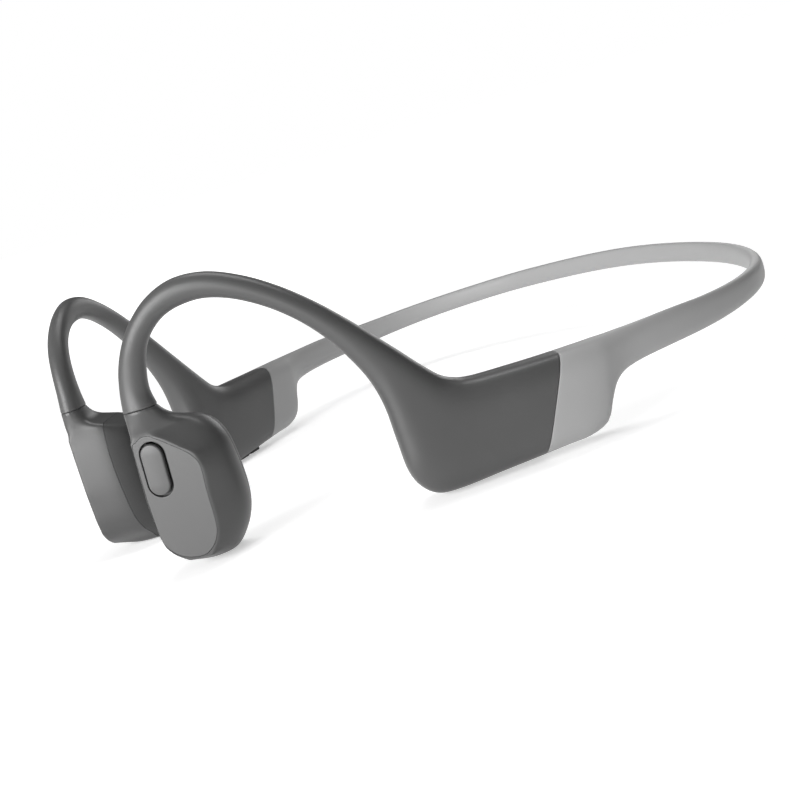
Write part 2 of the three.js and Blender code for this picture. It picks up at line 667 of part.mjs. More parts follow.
function build() {
  const group = new THREE.Group();
  group.name = 'bone_conduction_headphones';
  for (const side of ['left', 'right']) {
    for (const [name, piece] of Object.entries(sidePieces(side))) {
      const unique = side === 'left' ? /^(multi|button|battery)/ : /^(volume|charge|main|radio)/;
      const label = unique.test(name) ? name : `${side}_${name}`;
      group.add(toMesh(label, piece, side === 'right'));
    }
  }
  const bounds = new THREE.Box3().setFromObject(group);
  const middle = bounds.getCenter(new THREE.Vector3());
  for (const mesh of group.children) mesh.geometry.translate(-middle.x, -middle.y, -bounds.min.z);
  return group;
}

export default build();
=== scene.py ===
import math

import bmesh
import bpy
import numpy as np
from mathutils import Matrix, Vector


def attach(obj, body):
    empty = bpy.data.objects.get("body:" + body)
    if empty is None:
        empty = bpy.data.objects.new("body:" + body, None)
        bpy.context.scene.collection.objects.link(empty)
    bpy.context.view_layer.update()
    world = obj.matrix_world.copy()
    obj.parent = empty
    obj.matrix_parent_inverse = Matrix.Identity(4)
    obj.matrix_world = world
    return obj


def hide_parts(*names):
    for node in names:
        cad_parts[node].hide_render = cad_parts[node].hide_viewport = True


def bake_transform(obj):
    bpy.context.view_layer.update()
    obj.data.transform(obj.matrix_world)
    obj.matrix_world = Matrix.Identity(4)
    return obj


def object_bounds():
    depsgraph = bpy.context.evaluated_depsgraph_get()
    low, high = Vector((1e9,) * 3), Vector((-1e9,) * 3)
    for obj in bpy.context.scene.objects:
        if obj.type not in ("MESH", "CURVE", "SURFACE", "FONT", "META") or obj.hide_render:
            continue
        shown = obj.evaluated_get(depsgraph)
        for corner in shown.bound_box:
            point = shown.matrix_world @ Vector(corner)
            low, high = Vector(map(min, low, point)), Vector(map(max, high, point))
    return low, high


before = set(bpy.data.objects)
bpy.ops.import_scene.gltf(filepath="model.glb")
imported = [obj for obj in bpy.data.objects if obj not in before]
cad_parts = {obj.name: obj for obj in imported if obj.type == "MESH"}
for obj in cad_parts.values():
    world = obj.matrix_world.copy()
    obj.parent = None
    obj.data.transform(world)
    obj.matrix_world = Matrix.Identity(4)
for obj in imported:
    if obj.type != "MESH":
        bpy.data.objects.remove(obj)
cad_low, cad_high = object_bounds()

# Bone conduction headphones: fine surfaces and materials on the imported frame.
# Shapes are written in millimetres in the part's own arm coordinates and turned into metres at the end:
# u = distance back along the arm from the front of the transducer housing, z = height, w = outward offset.

MM = 0.001
SIDES = {"left": 1, "right": -1}

# ---------------------------------------------------------------- driving dimensions
PLAN_LEAD = 2.0
PLAN_STEPS = 120
PLAN_CURVES = [                     # cubic Beziers, left half of the plan view, front to back
    [(14.2, -0.4), (44.5, 26.6), (42.3, 29.6), (53.7, 52.7)],
    [(53.7, 52.7), (62.4, 70.4), (65.4, 83.2), (65.4, 93.6)],
    [(65.4, 93.6), (65.4, 127.6), (33.5, 137.8), (0.0, 137.8)],
]

# hook and module cover:
# [u top, z top, u bottom, z bottom, half width, squareness, cavity share, outward bow]
HOOK = [
    [2.4, 30.9, 9.1, 30.9, 2.5, 2.1, 0, 0.8],
    [3.1, 34.6, 8.7, 33.8, 2.25, 2.1, 0, 0.7],
    [4.5, 38.6, 9.6, 37.4, 2.1, 2.1, 0, 0.9],
    [6.8, 42.6, 11.05, 40.8, 2.1, 2.1, 0, 1.1],
    [9.9, 46.3, 13.25, 43.4, 2.05, 2.1, 0, 1.1],
    [14.2, 49.5, 16.3, 45.35, 2.05, 2.1, 0, 0.8],
    [19.5, 51.2, 20.0, 46.2, 2.1, 2.1, 0, 0.5],
    [25.5, 50.7, 24.2, 46.1, 2.15, 2.1, 0, 0.25],
    [31.5, 48.2, 29.0, 44.5, 2.2, 2.1, 0, 0.1],
    [37.0, 44.6, 34.0, 41.5, 2.3, 2.1, 0, 0],
    [42.0, 40.3, 38.4, 37.7, 2.5, 2.1, 0, 0],
    [46.2, 35.9, 42.0, 33.3, 2.8, 2.15, 0, 0],
    [50.0, 31.5, 45.0, 28.2, 3.2, 2.3, 0.1, 0],
    [53.4, 27.4, 47.0, 23.4, 3.6, 2.5, 0.3, 0],
    [56.4, 23.7, 48.0, 18.2, 4.0, 2.8, 0.55, 0],
    [59.3, 20.6, 48.2, 12.0, 4.3, 3.0, 0.8, 0],
    [62.0, 19.2, 48.5, 6.0, 4.6, 3.2, 0.95, 0],
    [64.4, 18.7, 50.0, 2.6, 4.7, 3.3, 1, 0],
    [67.0, 18.5, 52.6, 0.7, 4.75, 3.4, 1, 0],
    [70.4, 18.35, 57.0, 0.35, 4.75, 3.5, 1, 0],
    [75.0, 18.15, 64.4, 0.7, 4.75, 3.6, 1, 0],
    [79.9, 18.0, 72.4, 1.05, 4.75, 3.6, 1, 0],
]

# tail and half neckband, same columns
SLEEVE = [
    [80.2, 18.0, 72.7, 1.05, 4.75, 3.6, 1, 0],
    [82.8, 17.95, 77.2, 1.25, 4.75, 3.6, 1, 0],
    [85.2, 17.9, 81.3, 1.35, 4.65, 3.5, 1, 0],
    [87.7, 17.9, 84.9, 2.5, 4.3, 3.4, 0.85, 0],
    [90.0, 17.85, 86.5, 5.2, 3.65, 3.2, 0.6, 0],
    [92.6, 17.85, 88.3, 8.1, 3.0, 3.0, 0.3, 0],
    [95.6, 17.8, 91.0, 10.1, 2.4, 2.9, 0.1, 0],
    [99.2, 17.8, 95.2, 10.95, 1.9, 2.8, 0, 0],
    [105.0, 17.75, 102.3, 11.3, 1.5, 2.7, 0, 0],
    [114.0, 17.35, 113.0, 11.5, 1.35, 2.7, 0, 0],
    [126.0, 17.25, 126.0, 12.1, 1.35, 2.7, 0, 0],
    [145.0, 17.8, 145.0, 13.1, 1.35, 2.7, 0, 0],
    [170.0, 19.0, 170.0, 14.4, 1.35, 2.7, 0, 0],
]
# the row at the middle of the back, without its two distances u
BAND_BACK = [19.9, 15.3, 1.35, 2.7, 0, 0]
BAND_HALF = BAND_BACK[2]
WALL = 1.25
CHANNEL_HOOK = (1.7, 1.0)
CHANNEL_BAND = (1.7, 0.85)
CHANNEL_SQUARENESS, CAVITY_SQUARENESS = 2.2, 4.6
WIRE_SHARE = 0.75
CORE_OFFSET, CORE_RADIUS = -0.75, 0.5
LEAD_OFFSET, LEAD_RADIUS = 0.85, 0.4
STRANDS, STRAND_SHARE = 3, 0.46     # leads laid round each other, and the radius of each in the whole's
STRAND_TURN = 9.0

HOUSING_U = 10
MODULE_U = 68
PLATE_W = 2.8
SEAM_W = -4.9
PAD_W = -9.9
NECK_START, NECK_TOP = 26.2, 30.6
NECK_BOW, NECK_HALF = 0.8, 2.5
HOUSING_WALL = 1.2
# [z, u front, u rear, u where the flat outer face ends, w outer, w inner]
HOUSING = [
    [0.02, 8.2, 10.5, 9.4, -3.0, -7.2],
    [0.1, 7.5, 11.5, 9.6, -1.9, -8.1],
    [0.4, 6.8, 12.5, 10.0, -0.4, -8.9],
    [1.0, 6.3, 13.4, 10.2, 1.3, -9.5],
    [1.6, 5.9, 14.0, 10.3, 2.4, -9.75],
    [1.85, 5.6, 14.2, 10.5, PLATE_W, -9.8],
    [2.25, 4.9, 14.6, 10.9, PLATE_W, PAD_W],
    [2.7, 4.2, 15.0, 11.3, PLATE_W, PAD_W],
    [3.3, 3.4, 15.5, 11.8, PLATE_W, PAD_W],
    [4.2, 2.6, 16.2, 12.4, PLATE_W, PAD_W],
    [5.4, 1.9, 16.9, 13.0, PLATE_W, PAD_W],
    [8.5, 1.5, 18.1, 13.6, PLATE_W, PAD_W],
    [13.0, 1.5, 18.5, 13.9, PLATE_W, PAD_W],
    [17.2, 1.75, 18.4, 14.4, PLATE_W, PAD_W],
    [20.4, 2.0, 18.1, 13.8, PLATE_W, PAD_W],
    [22.6, 2.2, 17.4, 11.4, PLATE_W, PAD_W],
    [24.6, 2.4, 16.1, 8.9, PLATE_W, -9.4],
    [26.2, 2.5, 14.4, 6.6, PLATE_W, -6.6],
    [27.2, 2.5, 12.8, 6.3, 2.95, -3.8],
    [28.0, 2.45, 11.2, 6.2, 3.1, -2.3],
    [29.2, 2.4, 9.8, 6.1, 3.2, -1.9],
    [30.6, 2.4, 9.1, 6.0, 3.3, -1.7],
]
CORNER_RADII = [0.2, 0.3, 2.2, 0.8, 1.8, 1.8, 0.8]
HOUSING_SPACING = 0.3
RING_POINTS = 200
SOFTEN_PASSES = 60
PAD_SIDE, WIDEST_W = 0.6, -0.6      # least side wall of the pad, and outermost place of the widest line
PAD_CORNER, PAD_CORNER_SHARE = 2.2, 0.2
FACE_HOLD, FACE_TOP = 2.5, 26.0     # the skin keeps its shape this close behind the outer face
NECK_BLEND = 1.5
NECK_CHANNEL_U, NECK_CHANNEL_BOTTOM = 5.8, 20
CAVITY_HEIGHTS = [1.7, 2.8, 4.6, 8.0, 13.0, 18.0, 21.0, 23.0, 24.6]
CAVITY_MIDDLE, CAVITY_SLOPE = 13, 6
SEAM_LINE = [                       # [z, w]: the parting line between shell and contact pad
    [-4, -6.6], [2, -5.9], [7, -5.2], [13, -4.8], [20, -4.6], [28, -5.2], [36, -6.0],
]
FACE_OUTLINE = [                    # edge of the flat outer face: [u, z]
    [2.5, 24.4], [3.6, 25.4], [4.8, 26.0], [6.0, 26.0], [7.1, 25.5], [11.7, 22.0], [13.4, 20.2],
    [14.1, 18.2], [13.7, 13.7], [13.3, 7.9], [12.7, 5.4], [11.3, 3.4], [9.2, 2.1], [6.7, 2.1],
    [4.3, 2.9], [2.4, 4.7], [1.6, 7.0], [1.6, 13.0], [1.9, 18.0],
]
FACE_THICK = 0.85
POCKET_FLOOR = 1.65
POCKET_INSET, PLATE_INSET = 0.10, 0.14
PLATE_EDGE, FLAT_MARGIN = 0.10, 0.08    # rounding of the plate's edge, and the flat strip inside it
PLATE_POINTS = 288
BUTTON = {"u": 5.45, "z": 19.6, "length": 9.65, "width": 4.2, "tilt": 4.5, "low": 2.25, "top": 3.2}
BUTTON_GAP, BUTTON_SHIFT = 0.42, 0.16   # the opening is wider than the button and sits a little behind it
BUTTON_EDGE, BUTTON_CROWN = 0.34, 0.12
CROWN_SHARES = (0.2, 0.4, 0.6, 0.8, 0.95)   # steps of the crown, from the button's edge to its middle
BUTTON_WEB = 0.6
STEM_RADIUS, STEM_END = 0.9, 0.8
VOLUME = {"rear": 69.9, "length": 4.0, "width": 2.4, "radius": 0.9, "pitch": 4.4, "low": 0.05, "top": 1.9}
VOLUME_EDGE = 0.25
UNDER_GAP = 0.14                    # round the keys and the port
UNDER_CUT = (-1.0, 4.0)             # heights between which their openings are cut
PORT = {"u": 57.6, "length": 6.0, "width": 3.6, "radius": 1.5, "low": 0.4, "top": 2.1}
CONTACT = {"apart": 1.5, "well": 0.95, "well_top": 1.6, "radius": 0.65, "low": 0.7, "top": 1.3}
# the contact's rounded edge and dish: [pulled in from its side, height above its face]
CONTACT_FACE = [(0, 0.12), (0.04, 0.04), (0.13, 0), (0.247, 0.02), (0.3575, 0.1), (0.52, 0.14)]

OVERRUN = 2                         # cutters go this far past what they cut
BLOCK_FRONT, BLOCK_REAR = -5, 30    # reach of the block that cuts at the parting line
SEAM_GAP = 0.04                     # half of the fine lines between fixed neighbours
LIP = 0.14                          # rounding of the edges along those lines
SKIN = 0.07                         # the arm's skin lies this far inside the rows of its table
END_REACH = 0.11                    # the covers go this far past their first and last rows
ARM_POINTS = 64
ROUND_POINTS = 40
HOOK_SPACING = 0.45
BAND_SPACING = 0.8


# ---------------------------------------------------------------- plan curve
def bezier(control, t):
    p, s = np.array(control, float), 1 - t
    weights = np.stack([s**3, 3 * s**2 * t, 3 * s * t**2, t**3], -1)
    return weights @ p


def plan_line():
    start = np.array(PLAN_CURVES[0][0], float)
    toward = np.array(PLAN_CURVES[0][1], float) - start
    lead = start - toward / np.linalg.norm(toward) * PLAN_LEAD
    t = np.linspace(0, 1, PLAN_STEPS + 1)[1:]
    return np.vstack([lead, start, *[bezier(curve, t) for curve in PLAN_CURVES]])


plan = plan_line()
plan_runs = np.linalg.norm(np.diff(plan, axis=0), axis=1)
plan_u = np.concatenate([[0], np.cumsum(plan_runs)])
BAND_END = plan_u[-1]
turn_u = np.append((plan_u[:-1] + plan_u[1:]) / 2, BAND_END)
turn_way = np.vstack([np.diff(plan, axis=0) / plan_runs[:, None], [-1.0, 0.0]])
SHIFT_Y = cad_high.y / MM - plan[-1][1] - BAND_HALF     # the frame's origin is under the part's middle


def plan_frame(u):
    """Place, backward direction and outward normal of the plan curve at distances u."""
    place = np.stack([np.interp(u, plan_u, plan[:, k]) for k in (0, 1)], -1)
    along = np.stack([np.interp(u, turn_u, turn_way[:, k]) for k in (0, 1)], -1)
    along /= np.linalg.norm(along, axis=-1, keepdims=True)
    out = np.stack([along[..., 1], -along[..., 0]], -1)
    return place, along, out


def on_arm(u, z, w):
    """Places of arm coordinates on the curved arm, mirrored past the middle of the back."""
    beyond = u > BAND_END
    place, _, out = plan_frame(np.where(beyond, 2 * BAND_END - u, u))
    xy = place + out * w[..., None]
    return np.stack([np.where(beyond, -xy[..., 0], xy[..., 0]), xy[..., 1] + SHIFT_Y, z], -1)


def flat_frame(u0):
    """Arm coordinates in a flat frame touching the arm at distance u0."""
    place, along, out = plan_frame(np.array(float(u0)))

    def at(u, z, w):
        u, z, w = np.broadcast_arrays(*[np.asarray(v, float) for v in (u, z, w)])
        xy = place + along * (u - u0)[..., None] + out * w[..., None]
        return np.stack([xy[..., 0], xy[..., 1] + SHIFT_Y, z], -1)

    return at


in_housing = flat_frame(HOUSING_U)
in_module = flat_frame(MODULE_U)


# ---------------------------------------------------------------- mesh helpers
def grid_faces(rows, count, closed=False):
    """Quads between rings of equal point counts. closed joins the last ring to the first."""
    faces = []
    for r in range(rows if closed else rows - 1):
        a, b = r * count, ((r + 1) % rows) * count
        for i in range(count):
            j = (i + 1) % count
            faces.append((a + i, a + j, b + j, b + i))
    return faces


def finish_mesh(mesh, sharp_degrees):
    work = bmesh.new()
    work.from_mesh(mesh)
    bmesh.ops.recalc_face_normals(work, faces=work.faces)
    work.to_mesh(mesh)
    work.free()
    mesh.polygons.foreach_set("use_smooth", [True] * len(mesh.polygons))
    mesh.set_sharp_from_angle(angle=math.radians(sharp_degrees))
    mesh.update()


def make(name, vertices, faces, side=1, sharp_degrees=35):
    """Object from vertices in millimetres. The right side is the left mirrored."""
    mesh = bpy.data.meshes.new(name)
    placed = np.array(vertices, float) * MM
    placed[:, 0] *= side
    mesh.from_pydata(placed.tolist(), [], faces)
    finish_mesh(mesh, sharp_degrees)
    obj = bpy.data.objects.new(name, mesh)
    bpy.context.scene.collection.objects.link(obj)
    return obj


def shrunk(ring, shares):
    """Rings inside a ring, scaled about its middle, for a flat cap with even faces."""
    middle = ring.mean(0)
    return [middle + (ring - middle) * share for share in shares]


def closed_loft(name, rings, side=1, sharp_degrees=35, caps=((0.9, 0.5), (0.9, 0.5))):
    """Closed solid through rings, with flat ends."""
    first, last = rings[0], rings[-1]
    rings = shrunk(first, caps[0])[::-1] + list(rings) + shrunk(last, caps[1])
    count = len(first)
    vertices = np.vstack(rings)
    faces = grid_faces(len(rings), count)
    faces.append(tuple(range(count)))
    faces.append(tuple(range(len(vertices) - count, len(vertices))))
    return make(name, vertices, faces, side, sharp_degrees)


def tube(name, outside, inside, side=1):
    """Hollow piece open at both ends: outer rings there, inner rings back."""
    rings = list(outside) + list(inside)[::-1]
    return make(name, np.vstack(rings), grid_faces(len(rings), len(rings[0]), closed=True), side)


def cut(obj, *cutters, sharp_degrees=35):
    """Cuts each cutter out of obj, and removes the cutters."""
    for cutter in cutters:
        modifier = obj.modifiers.new("cut", "BOOLEAN")
        modifier.operation = "DIFFERENCE"
        modifier.solver = "EXACT"
        modifier.object = cutter
        bpy.context.view_layer.update()
        graph = bpy.context.evaluated_depsgraph_get()
        mesh = bpy.data.meshes.new_from_object(obj.evaluated_get(graph))
        obj.modifiers.clear()
        obj.data = mesh
        bpy.data.objects.remove(cutter, do_unlink=True)
    mesh.polygons.foreach_set("use_smooth", [True] * len(mesh.polygons))
    mesh.set_sharp_from_angle(angle=math.radians(sharp_degrees))
    return obj


def pill(length, width, radius, steps=14):
    """Rounded rectangle about the origin, as points (along, across)."""
    points = []
    for corner in range(4):
        along = (1 if corner in (0, 3) else -1) * (length / 2 - radius)
        across = (1 if corner < 2 else -1) * (width / 2 - radius)
        for angle in np.linspace(corner, corner + 1, steps) * math.pi / 2:
            points.append((along + radius * math.cos(angle), across + radius * math.sin(angle)))
    return np.array(points)


def circle(radius, count):
    angle = np.arange(count) / count * 2 * math.pi
    return np.stack([radius * np.cos(angle), radius * np.sin(angle)], -1)


def turned(points, degrees):
    a = math.radians(degrees)
    return points @ np.array([[math.cos(a), math.sin(a)], [-math.sin(a), math.cos(a)]])


def quarter(radius, steps=5):
    """Rounded edge as (pulled in, risen) pairs, from the side up to the top."""
    angles = np.linspace(0, math.pi / 2, steps + 1)
    return [(radius * (1 - math.cos(a)), radius * math.sin(a)) for a in angles]


# ---------------------------------------------------------------- arm lofts
def refine(rows, spacing):
    """Extra rows between the given ones, on a smooth curve through them."""
    rows = np.array(rows, float)
    fine = []
    for i in range(len(rows) - 1):
        a, b, c, d = [rows[min(max(k, 0), len(rows) - 1)] for k in range(i - 1, i + 3)]
        steps = max(1, round(math.hypot(c[0] - b[0], c[1] - b[1]) / spacing))
        for t in np.arange(steps) / steps:
            weights = [
                (-t + 2 * t**2 - t**3) / 2,
                (2 - 5 * t**2 + 3 * t**3) / 2,
                (t + 4 * t**2 - 3 * t**3) / 2,
                (t**3 - t**2) / 2,
            ]
            fine.append(weights[0] * a + weights[1] * b + weights[2] * c + weights[3] * d)
    fine.append(rows[-1])
    return fine


def chord(row):
    return math.hypot(row[0] - row[2], row[1] - row[3])


def arm_ring(row, high, wide, square, count=ARM_POINTS, offset=(0, 0)):
    """Ring across the arm. offset moves it along the chord and outward."""
    rise = np.array([row[0] - row[2], row[1] - row[3]]) / chord(row)
    angle = np.arange(count) / count * 2 * math.pi
    c, s = np.cos(angle), np.sin(angle)
    h = high * np.sign(c) * np.abs(c) ** (2 / square) + offset[0]
    w = wide * np.sign(s) * np.abs(s) ** (2 / square) + offset[1] + row[7]
    return on_arm((row[0] + row[2]) / 2 + rise[0] * h, (row[1] + row[3]) / 2 + rise[1] * h, w)


def outer_ring(row, shrink=0):
    shrink = shrink + SKIN
    return arm_ring(row, chord(row) / 2 - shrink, row[4] - shrink, row[5])


def inner_ring(row, channel):
    share = row[6]
    high = channel[0] + (chord(row) / 2 - WALL - channel[0]) * share
    wide = channel[1] + (row[4] - WALL - channel[1]) * share
    return arm_ring(row, high, wide, CHANNEL_SQUARENESS + (CAVITY_SQUARENESS - CHANNEL_SQUARENESS) * share)


def end_rows(end, inward):
    """Rows and shrinks of a rounded rim at an end, from the side to the end plane."""
    step = (end - inward)[:4]
    length = (math.hypot(*step[:2]) + math.hypot(*step[2:])) / 2
    rim = []
    for pulled, risen in quarter(LIP):
        row = end.copy()
        row[:4] += step / length * (END_REACH - LIP + risen)
        rim.append((row, pulled))
    return rim


def arm_cover(name, rows, channel, side=1):
    """Hollow cover along rows, with rounded rims."""
    first = end_rows(rows[0], rows[1])
    last = end_rows(rows[-1], rows[-2])
    outside = [outer_ring(*rim) for rim in first[::-1]]
    outside += [outer_ring(row) for row in rows[1:-1]]
    outside += [outer_ring(*rim) for rim in last]
    inside = [inner_ring(row, channel) for row in [first[-1][0], *rows[1:-1], last[-1][0]]]
    return tube(name, outside, inside, side)


def strand(rows, along, across, radius, count=16):
    return [arm_ring(row, radius, radius, 2, count, (along, across)) for row in rows]


def several(name, bundles, side=1):
    """One piece made of several closed strands."""
    vertices, faces, start = [], [], 0
    for rings in bundles:
        count = len(rings[0])
        total = count * len(rings)
        faces += [tuple(v + start for v in face) for face in grid_faces(len(rings), count)]
        faces += [tuple(range(start, start + count)), tuple(range(start + total - count, start + total))]
        vertices += list(rings)
        start += total
    return make(name, np.vstack(vertices), faces, side)


def twisted_leads(name, rows, side=1):
    """Three insulated leads laid round each other."""
    radius = LEAD_RADIUS * STRAND_SHARE
    orbit = LEAD_RADIUS - radius
    travelled = np.cumsum([0] + [
        math.hypot(b[0] - a[0], b[1] - a[1]) for a, b in zip(rows[:-1], rows[1:])
    ])
    bundles = []
    for k in range(STRANDS):
        rings = []
        for row, run in zip(rows, travelled):
            angle = 2 * math.pi * (k / STRANDS + run / STRAND_TURN)
            along = LEAD_OFFSET + orbit * math.cos(angle)
            rings.append(arm_ring(row, radius, radius, 2, 10, (along, orbit * math.sin(angle))))
        bundles.append(rings)
    return several(name, bundles, side)


def band_table():
    """Tail, neckband and the other tail, from one parting line to the other."""
    half = [list(row) for row in SLEEVE]
    middle = [BAND_END, BAND_BACK[0], BAND_END, *BAND_BACK[1:]]
    far = [[2 * BAND_END - row[0], row[1], 2 * BAND_END - row[2], *row[3:]] for row in half[::-1]]
    return half + [middle] + far


hook_rows = refine(HOOK, HOOK_SPACING)
band_rows = refine(band_table(), BAND_SPACING)


# ---------------------------------------------------------------- transducer housing
def monotone(table, spacing):
    """Rows between the given ones on a smooth curve that never overshoots a column."""
    rows = np.array(table, float)
    gaps = np.linalg.norm(np.diff(rows, axis=0), axis=1)[:, None]
    slopes = np.diff(rows, axis=0) / gaps
    product = slopes[:-1] * slopes[1:]
    inner = np.where(product > 0, 2 * product / np.where(product > 0, slopes[:-1] + slopes[1:], 1), 0)
    tangents = np.vstack([slopes[0], inner, slopes[-1]])
    fine = []
    for i, gap in enumerate(gaps[:, 0]):
        steps = max(2, round(gap / spacing))
        for t in np.arange(steps) / steps:
            fine.append(
                rows[i] * (1 + 2 * t) * (1 - t) ** 2 + tangents[i] * gap * t * (1 - t) ** 2
                + rows[i + 1] * t**2 * (3 - 2 * t) + tangents[i + 1] * gap * t**2 * (t - 1)
            )
    fine.append(rows[-1])
    return fine


def soft_ring(corners, radii, corner_steps=8, side_steps=3):
    """Polygon with each corner replaced by a short curve, and points along its sides."""
    points = []
    corners = [np.array(c, float) for c in corners]
    n = len(corners)
    ends = []
    for i, corner in enumerate(corners):
        pair = []
        for other in (corners[i - 1], corners[(i + 1) % n]):
            share = min(radii[i] / np.linalg.norm(other - corner), 0.5)
            pair.append(corner + (other - corner) * share)
        ends.append(pair)
    for i, corner in enumerate(corners):
        for t in np.linspace(0, 1, corner_steps):
            points.append(ends[i][0] * (1 - t) ** 2 + 2 * corner * t * (1 - t) + ends[i][1] * t**2)
        following = ends[(i + 1) % n][0]
        for t in np.linspace(0, 1, side_steps + 2)[1:-1]:
            points.append(ends[i][1] * (1 - t) + following * t)
    return np.array(points)


def smoothstep(value, low, high):
    t = min(max((value - low) / (high - low), 0), 1)
    return t * t * (3 - 2 * t)


def housing_ring(row, shrink=0, z=None):
    """Horizontal section of the housing, pulled in by shrink, at height z."""
    front, rear = row[1] + shrink, row[2] - shrink
    face_end = min(row[3], row[2] - 1) - shrink
    outer, inner = row[4] - shrink, row[5] + shrink
    seam = max(SEAM_W, inner + PAD_SIDE)
    widest = min(WIDEST_W, (outer + seam) / 2)
    pad_inset = min(PAD_CORNER, (rear - front) * PAD_CORNER_SHARE, seam - inner)
    corners = [
        (front, outer), (face_end, outer), (rear, widest), (rear, seam),
        (rear - pad_inset, inner), (front + pad_inset * 0.8, inner), (front, seam),
    ]
    blunt = max(PLATE_W - row[4], 0)
    body = soft_ring(corners, [CORNER_RADII[0] + blunt, CORNER_RADII[1] + blunt, *CORNER_RADII[2:]])
    neck = smoothstep(row[0], NECK_START, NECK_TOP)
    middle = np.array([(front + rear) / 2, NECK_BOW])
    half = np.array([(rear - front) / 2, NECK_HALF - shrink])
    angle = np.arctan2(*((body - middle) / half).T[::-1])
    oval = middle + half * np.stack([np.cos(angle), np.sin(angle)], -1)
    mixed = body * (1 - neck) + oval * neck
    return in_housing(mixed[:, 0], row[0] if z is None else z, mixed[:, 1])


def housing_row(z):
    rows = np.array(HOUSING, float)
    return np.array([np.interp(z, rows[:, 0], rows[:, k]) for k in range(rows.shape[1])])


def even_ring(ring, count=RING_POINTS):
    """Ring resampled at even steps along its length."""
    closed = np.vstack([ring, ring[:1]])
    run = np.concatenate([[0], np.cumsum(np.linalg.norm(np.diff(closed, axis=0), axis=1))])
    steps = np.linspace(0, run[-1], count + 1)[:-1]
    return np.stack([np.interp(steps, run, closed[:, k]) for k in range(3)], -1)


def soften(rings, freedom):
    """Evens out the skin between its rings. freedom is how much each point may move, from 0 to 1."""
    skin = np.array(rings)
    for _ in range(SOFTEN_PASSES):
        around = (np.roll(skin, 1, 1) + np.roll(skin, -1, 1)) / 2
        skin += (around - skin) * freedom * 0.5
        across = skin.copy()
        across[1:-1] = (skin[:-2] + skin[2:]) / 2
        skin += (across - skin) * freedom * 0.5
    return list(skin)


def face_distance(rings):
    """How far each point lies behind the plane of the outer plate, in millimetres."""
    front = in_housing(0, 0, PLATE_W)
    outward = in_housing(0, 0, PLATE_W + 1) - front
    return (front - np.array(rings)) @ outward


def housing_body(name, side):
    """The housing's skin: sides softened to a pebble shape, the outer face left flat."""
    rows = monotone(HOUSING, HOUSING_SPACING)
    rings = [even_ring(housing_ring(row)) for row in rows]
    freedom = np.clip(face_distance(rings) / FACE_HOLD, 0, 1) ** 2
    above = np.array([smoothstep(row[0], FACE_TOP - 1, FACE_TOP + NECK_BLEND) for row in rows])
    freedom = np.maximum(freedom, above[:, None])
    end = np.array([smoothstep(NECK_TOP - row[0], 0, NECK_BLEND) for row in rows])
    rings = soften(rings, (freedom * end[:, None])[..., None])
    top = rows[-1]
    rings = rings[:-1]
    for pulled, risen in quarter(LIP):
        rings.append(even_ring(housing_ring(top, pulled + SKIN, NECK_TOP + END_REACH - LIP + risen)))
    return closed_loft(name, rings, side, 30, caps=((0.92, 0.8, 0.5), (0.9, 0.5)))


def housing_cavity(side):
    rings = []
    for z in CAVITY_HEIGHTS:
        lift = HOUSING_WALL * min(max((z - CAVITY_MIDDLE) / CAVITY_SLOPE, -1), 1)
        rings.append(housing_ring(housing_row(z + lift), HOUSING_WALL, z))
    return closed_loft("cavity", rings, side)


def beyond_seam(toward, side):
    """Everything outward (+1) or inward (-1) of the parting line, less half of the fine gap."""
    line = np.array(refine([[z, w, 0, 0] for z, w in SEAM_LINE], 1.0))
    rings = []
    for z, w, _, _ in line:
        near = w - toward * SEAM_GAP
        far = w + toward * BLOCK_REAR
        around = [BLOCK_FRONT, BLOCK_REAR, BLOCK_REAR, BLOCK_FRONT]
        rings.append(in_housing(around, z, [near, near, far, far]))
    return closed_loft("beyond_seam", rings, side)


def neck_channel(side):
    rings = []
    for z in (NECK_CHANNEL_BOTTOM, NECK_TOP + OVERRUN):
        around = circle(1, 24) * [CHANNEL_HOOK[0], CHANNEL_HOOK[1]]
        rings.append(in_housing(NECK_CHANNEL_U + around[:, 0], z, NECK_BOW + around[:, 1]))
    return closed_loft("channel", rings, side)


def smooth_outline(points, steps=10):
    """Closed smooth curve through the points."""
    points = np.array(points, float)
    n, fine = len(points), []
    for i in range(n):
        a, b, c, d = [points[(i + k) % n] for k in (-1, 0, 1, 2)]
        for t in np.arange(steps) / steps:
            fine.append(0.5 * (2 * b + (c - a) * t + (2 * a - 5 * b + 4 * c - d) * t**2
                               + (3 * b - a - 3 * c + d) * t**3))
    return np.array(fine)


def inset(outline, distance):
    """Closed clockwise outline moved inward."""
    along = np.roll(outline, -1, 0) - np.roll(outline, 1, 0)
    along /= np.linalg.norm(along, axis=1, keepdims=True)
    return outline + np.stack([along[:, 1], -along[:, 0]], -1) * distance


face_outline = smooth_outline(FACE_OUTLINE)


def on_face(points, w):
    return in_housing(points[:, 0], points[:, 1], w)


def face_pocket(side):
    outline = inset(face_outline, POCKET_INSET)
    return closed_loft("pocket", [on_face(outline, w) for w in (POCKET_FLOOR, PLATE_W + 1)], side)


def button_outline(grow, shift=0):
    size = [BUTTON["length"] + 2 * grow, BUTTON["width"] + 2 * grow, BUTTON["width"] / 2 + grow]
    return turned(pill(*size), 90 - BUTTON["tilt"]) + [BUTTON["u"] + shift, BUTTON["z"]]


def along_outline(outline, steps=1500):
    """Closed outline with points at small even steps, its straight sides too."""
    closed = np.vstack([outline, outline[:1]])
    run = np.concatenate([[0], np.cumsum(np.linalg.norm(np.diff(closed, axis=0), axis=1))])
    even = np.arange(steps) / steps * run[-1]
    return np.stack([np.interp(even, run, closed[:, k]) for k in (0, 1)], -1)


